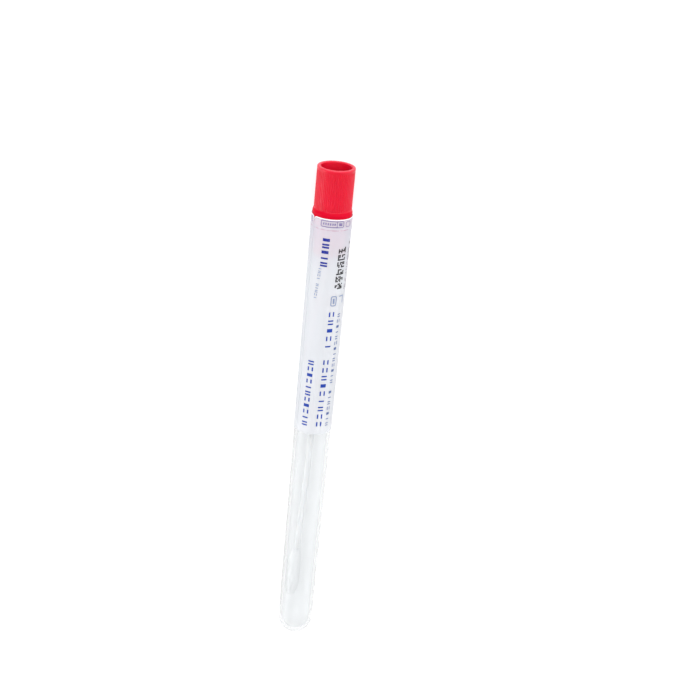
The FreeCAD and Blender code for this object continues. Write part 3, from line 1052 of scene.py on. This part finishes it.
@dataclass
class LabelPrint:
    """The label's plain printed fields: rows of marks, dot bands and rounded boxes, with no lettering."""

    sheet: LabelSheet
    inks: tuple[Ink, ...] = (
        Ink("navy", (0.008, 0.020, 0.26)),
        Ink("blue", (0.008, 0.045, 0.34), 0.05),
        Ink("slate", (0.065, 0.110, 0.29), 0.08),
        Ink("pale_blue", (0.17, 0.225, 0.38), 0.15),
        Ink("violet", (0.16, 0.12, 0.29), 0.2),
        Ink("black", (0.008, 0.005, 0.006), 0.02),
        Ink("grey", (0.14, 0.12, 0.14), 0.25),
    )

    def build(self) -> list[Piece]:
        """Prints the label.

        Returns:
            One piece for each ink.
        """
        layers = [PrintLayer(self.sheet, "print_" + ink.name) for ink in self.inks]
        navy, blue, slate, pale, violet, black, grey = layers
        block, slim, pair, dashes = Mark.BLOCK, Mark.SLIM, Mark.PAIR, Mark.DASHES
        navy.row(PrintLine(62.2, 54.2, 9.5, 2.0), 2.25, 0.8, (block, pair, block, slim, pair))
        tall = (dashes, pair, block, dashes, slim, pair, dashes)
        blue.row(PrintLine(37.6, -0.8, -25.6, 2.74), 1.85, 0.72, tall, gaps=(5,))
        blue.row(PrintLine(20.6, -1.0, 22.4, 2.16), 1.95, 0.8, (pair, dashes, block, dashes, slim))
        slate.row(PrintLine(36.9, -1.2, -53.0, 1.95), 1.2, 0.72, (pair, dashes, block, slim), gaps=(13,))
        tiny = (slim, pair, dashes, slim, dashes, pair)
        pale.row(PrintLine(52.6, 42.8, 20.2, 1.09, skew=-0.78), 0.95, 0.82, tiny, gaps=(4,))
        pale.outline(42.1, -28.0, 3.1, 1.75, 0.34, 0.45)
        pale.blocks((42.1, -28.0, 1.8, 0.62), (43.5, -55.0, 0.34, 2.0), (42.2, -62.0, 2.4, 0.36))
        violet.outline(67.35, -4.0, 1.9, 7.3, 0.26, 0.4)
        violet.blocks((67.35, -17.0, 1.85, 0.22), (67.35, -27.0, 0.9, 1.1),
                      *[(67.35, turn, 0.75, 0.42) for turn in (21.0, 14.5, 8.0, 1.5, -5.0, -11.0)])
        violet.outline(67.3, 72.0, 1.5, 1.2, 0.2, 0.35)
        violet.outline(67.2, -54.0, 1.6, 1.9, 0.2, 0.4)
        black.matrix(PrintLine(59.6, 45.8, -42.0, 0.48), 2.4, 0.27, 0.68, seed=5)
        black.blocks((60.6, -75.0, 0.7, 0.8))
        grey.matrix(PrintLine(59.0, 45.6, -72.0, 0.48), 0.96, 0.19, 0.55, seed=8)
        return [layer.build(ink.material()) for layer, ink in zip(layers, self.inks)]


# ---- Cap and swab ----

def dress(node: str, finish: Material) -> Piece:
    """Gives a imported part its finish.

    Args:
        node: The part's name.
        finish: Its material.

    Returns:
        The part.
    """
    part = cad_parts[node]
    for slot in part.material_slots:
        slot.material = finish
    return part


@dataclass
class PushCap:
    """The ribbed red push cap, as packed, with its moulding gate in the cup.

    The gate's steps are heights over the cup's floor in millimetres, and shares of its radius.
    """

    plan: TubePlan
    gate_radius: float = 0.7 * MM
    gate_steps: tuple[tuple[float, float], ...] = (
        (-0.05, 1.25), (0.02, 1.2), (0.10, 1.0), (0.24, 0.93), (0.28, 0.8), (0.20, 0.45),
    )
    gate_sides: int = 32
    floor_station: float = 3.2 * MM
    body: str = "cap"

    def build(self, finish: Material) -> list[Piece]:
        """Dresses the cap and adds the gate mark.

        Args:
            finish: The red plastic.

        Returns:
            The cap and its gate mark.
        """
        floor = self.plan.mouth + self.floor_station
        outline = [(floor + rise * MM, self.gate_radius * share) for rise, share in self.gate_steps]
        parts = MeshParts()
        parts.add_spindle(self.plan.rings(parts, outline, self.gate_sides), self.plan.tips(parts, outline))
        gate = parts.make("cap_gate_mark", finish)
        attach(gate, self.body)
        return [dress("cap", finish), gate]


@dataclass
class FibreBud:
    """The wound fibre bud: a soft core, strands wound round it and a few stray fibres.

    Places along the bud are shares of its length, 0 at its neck and 1 at its nose.
    """

    strands: int = 22
    winds: float = 2.4
    core_sides: int = 72
    strand_steps: int = 110
    strand_sides: int = 6
    strand_radius: float = 0.085 * MM
    strand_sunk: float = 0.055 * MM
    strand_wave: float = 0.02 * MM
    strays: int = 130
    stray_steps: int = 12
    stray_sides: int = 4
    stray_radius: float = 0.018 * MM
    stray_sunk: float = 0.02 * MM
    groove: float = 0.05 * MM
    slices: int = 60
    least_radius: float = 1.15 * MM
    seed: int = 23
    body: str = "cap"

    def __post_init__(self) -> None:
        """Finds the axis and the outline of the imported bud."""
        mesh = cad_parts["swab_bud"].data
        centres = np.array([face.center for face in mesh.polygons])
        areas = np.array([face.area for face in mesh.polygons])[:, None]
        self.origin = (centres * areas).sum(0) / areas.sum()
        spread = (centres - self.origin) * np.sqrt(areas)
        self.along = np.linalg.svd(spread, full_matrices=False)[2][0]
        if self.along[0] > 0:
            self.along = -self.along
        self.across = np.cross(self.along, (0.0, 0.0, 1.0))
        self.across /= np.linalg.norm(self.across)
        self.third = np.cross(self.along, self.across)
        points = np.array([vertex.co for vertex in mesh.vertices]) - self.origin
        run = points @ self.along
        away = np.linalg.norm(points - run[:, None] * self.along, axis=1)
        edges = np.linspace(run.min(), run.max(), self.slices + 1)
        held = [(run >= a - 1e-7) & (run <= b + 1e-7) for a, b in zip(edges, edges[1:])]
        found = [(float((a + b) / 2), float(away[h].max())) for h, a, b in zip(held, edges, edges[1:])
                 if h.any() and away[h].max() > self.least_radius]
        self.places = np.array([edges[0], *[p for p, _ in found], edges[-1]])
        self.radii = np.array([found[0][1], *[r for _, r in found], 0.0])

    def run(self, share: float) -> float:
        """Returns the distance along the axis of a place on the bud."""
        return self.places[0] + share * (self.places[-1] - self.places[0])

    def radius(self, share: float) -> float:
        """Returns the bud's radius at a place along it, with a rounded nose."""
        return float(np.interp(self.run(share), self.places, self.radii))

    def point(self, share: float, turn: float, lift: float) -> np.ndarray:
        """Returns the point at a place along the bud, an angle round it and a height over its surface."""
        out = math.cos(turn) * self.across + math.sin(turn) * self.third
        return self.origin + self.along * self.run(share) + (self.radius(share) + lift) * out

    def lay(self, share: float, turn: float) -> float:
        """Finds the depth of the winding at a point, which fades out at the nose.

        Args:
            share: Place along the bud.
            turn: Angle round it, in radians.

        Returns:
            Height in metres, zero or less.
        """
        winding = math.sin(self.strands * turn / 2 + share * TURN * self.winds * 5)
        second = math.sin(9 * turn - share * 61.0)
        return -self.groove * (0.9 + 0.35 * winding + 0.25 * second) * min(1.0, 12 * (1 - share))

    def core(self, finish: Material) -> Piece:
        """Builds the bud's body in place of the plain packed one.

        Args:
            finish: The fibre.

        Returns:
            The core.
        """
        parts = MeshParts()
        shares = [*np.linspace(0.0, 0.9, 90), *(1 - 0.1 * (1 - np.linspace(0, 1, 16)[1:-1]) ** 2)]
        turns = round_turns(self.core_sides)
        rings = [parts.add_points([self.point(s, t, self.lay(s, t)) for t in turns]) for s in shares]
        ends = parts.add_points([self.point(share, 0.0, -self.radius(share)) for share in (0.0, 1.0)])
        parts.add_spindle(rings[::-1], ends[::-1])
        core = parts.make("bud_core", finish, sharp_above=70.0)
        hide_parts("swab_bud")
        return core

    def wound(self, finish: Material) -> Piece:
        """Builds the strands wound round the core.

        Args:
            finish: The fibre.

        Returns:
            The strands as one piece.
        """
        parts, dice = MeshParts(), random.Random(self.seed)
        for strand in range(self.strands):
            begin = TURN * strand / self.strands + dice.uniform(-0.1, 0.1)
            sway = dice.uniform(0, TURN)
            wind = TURN * self.winds * (1 if strand % 4 else -0.6)
            shares = np.linspace(dice.uniform(0.01, 0.05), dice.uniform(0.955, 0.985), self.strand_steps)
            turns = begin + wind * shares + 0.12 * np.sin(9 * shares + sway)
            lifts = self.strand_wave * np.sin(23 * shares + sway) - self.strand_sunk
            path = np.array([self.point(s, t, lift) for s, t, lift in zip(shares, turns, lifts)])
            parts.add_thread(path, self.strand_radius * dice.uniform(0.75, 1.15), self.strand_sides)
        return parts.make("bud_strands", finish, sharp_above=80.0)

    def stray(self, finish: Material) -> Piece:
        """Builds the loose fibres that stand off the bud.

        Args:
            finish: The fibre.

        Returns:
            The loose fibres as one piece.
        """
        parts, dice = MeshParts(), random.Random(self.seed + 1)
        for _ in range(self.strays):
            begin, turn = dice.uniform(0.03, 0.93), dice.uniform(0, TURN)
            reach, drift = dice.uniform(0.02, 0.09), dice.uniform(-0.9, 0.9)
            rise = dice.uniform(0.04, 0.20) * MM
            path = np.array([
                self.point(min(0.985, begin + reach * s), turn + drift * s,
                           rise * math.sin(math.pi * s) - self.stray_sunk)
                for s in np.linspace(0, 1, self.stray_steps)
            ])
            parts.add_thread(path, self.stray_radius, self.stray_sides)
        return parts.make("bud_stray_fibres", finish, sharp_above=80.0)

    def build(self, finish: Material) -> list[Piece]:
        """Builds the bud.

        Args:
            finish: The fibre.

        Returns:
            The bud's pieces.
        """
        pieces = [self.core(finish), self.wound(finish), self.stray(finish)]
        for piece in pieces:
            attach(piece, self.body)
        return pieces


# ---- Studio ----

@dataclass(frozen=True)
class SoftBox:
    """A large soft lamp."""

    name: str
    place: Place
    size: tuple[float, float]
    watts: float
    aim: Place = (0.0, 0.0, 0.0)

    def build(self) -> Piece:
        """Hangs the lamp.

        Returns:
            The lamp.
        """
        light = bpy.data.lights.new(self.name, "AREA")
        light.shape = "RECTANGLE"
        light.size, light.size_y = self.size
        light.energy = self.watts
        lamp = bpy.data.objects.new(self.name, light)
        lamp.location = self.place
        lamp.rotation_euler = (Vector(self.aim) - Vector(self.place)).to_track_quat("-Z", "Y").to_euler()
        bpy.context.scene.collection.objects.link(lamp)
        return lamp


@dataclass
class Studio:
    """Plain pale floor, soft lamps, dim surroundings and the camera above the part."""

    floor_half: float = 0.62
    floor_drop: float = 0.02 * MM
    floor_lines: int = 9
    surround_low: float = 1.15
    surround_high: float = 0.30
    surround_top: float = 0.5
    air: Colour = (0.98, 0.99, 1.0)
    lamps: tuple[SoftBox, ...] = (
        SoftBox("overhead_softbox", (0.72, 0.10, 1.05), (1.3, 1.3), 14.4),
        SoftBox("left_softbox", (-0.45, 1.0, 0.24), (0.85, 0.38), 4.2),
        SoftBox("right_fill", (0.40, -1.0, 0.75), (1.0, 1.0), 6.3),
        SoftBox("cup_fill", (1.30, 0.0, 0.26), (0.4, 0.4), 1.9, aim=(0.08, 0.0, 0.0)),
        SoftBox("far_fill", (-1.35, 0.0, 0.70), (0.9, 0.9), 4.6),
    )
    eye: Place = (0.20909, 0.0, 0.43116)
    right: Place = (0.09263, -0.99555, -0.01774)
    up: Place = (0.91189, 0.09197, -0.40003)
    back: Place = (0.39987, 0.02088, 0.91633)
    lens: float = 74.47
    sensor: float = 36.0
    clear_layers: int = 32

    def floor(self, finish: Material) -> Piece:
        """Lays the floor under the part.

        Args:
            finish: The floor's white.

        Returns:
            The floor.
        """
        parts = MeshParts()
        steps = np.linspace(-self.floor_half, self.floor_half, self.floor_lines)
        parts.add_grid([parts.add_points([(x, y, -self.floor_drop) for y in steps]) for x in steps])
        floor = parts.make("studio_floor", finish)
        return floor

    def surroundings(self) -> None:
        """Sets the light around the studio, brighter near the floor; it shows as white behind the floor."""
        sheet = NodeSheet("studio_air", world=True)
        fall = sheet.ranged(sheet.along("Z"), self.surround_low, self.surround_high, 0.0, self.surround_top)
        dim = sheet.add("Background", "Background", {"Color": self.air, "Strength": fall})
        white = sheet.add("Background", "Background", {"Color": (1.0, 1.0, 1.0)})
        seen = sheet.add("LightPath", "Is Camera Ray")
        sheet.show(sheet.add("MixShader", "Shader", {0: seen, 1: dim, 2: white}))
        bpy.context.scene.world = sheet.owner

    def camera(self) -> Piece:
        """Sets the camera above the part.

        Returns:
            The camera.
        """
        data = bpy.data.cameras.new("studio_camera")
        data.lens, data.sensor_width = self.lens, self.sensor
        data.clip_start, data.clip_end = 0.01, 20.0
        camera = bpy.data.objects.new("studio_camera", data)
        turn = Matrix((self.right, self.up, self.back)).transposed()
        camera.matrix_world = Matrix.Translation(self.eye) @ turn.to_4x4()
        bpy.context.scene.collection.objects.link(camera)
        bpy.context.scene.camera = camera
        return camera

    def build(self) -> None:
        """Sets up the whole studio."""
        self.floor(StudioWhite().material())
        self.surroundings()
        for lamp in self.lamps:
            lamp.build()
        self.camera()
        scene = bpy.context.scene
        scene.view_settings.view_transform = "Standard"
        scene.view_settings.look = "None"
        scene.cycles.transparent_max_bounces = self.clear_layers


# ---- The whole part ----

def report(*pieces: Piece) -> None:
    """Logs each piece with its face count and material.

    Args:
        pieces: The pieces.
    """
    for piece in pieces:
        finish = piece.material_slots[0].material
        LOG.info("%s: %d faces, material %s", piece.name, len(piece.data.polygons), finish.name)


def main() -> None:
    """Builds the looks of every piece in order."""
    logging.basicConfig(level=logging.INFO, format="%(message)s")
    plan = TubePlan.from_frame()
    Studio().build()
    tube = ClearTube(plan)
    report(tube.build(ClearPlastic().material()), tube.lip(LipPlastic().material()))
    report(*PushCap(plan).build(RedPlastic().material()))
    sheet = LabelSheet(plan)
    report(sheet.build(LabelFilm().material()), sheet.cut_edge(BareFilm().material()))
    report(*LabelPrint(sheet).build())
    report(dress("swab_shaft", StickPlastic().material()))
    report(*FibreBud().build(BudFibre().material()))


if __name__ == "__main__":
    main()
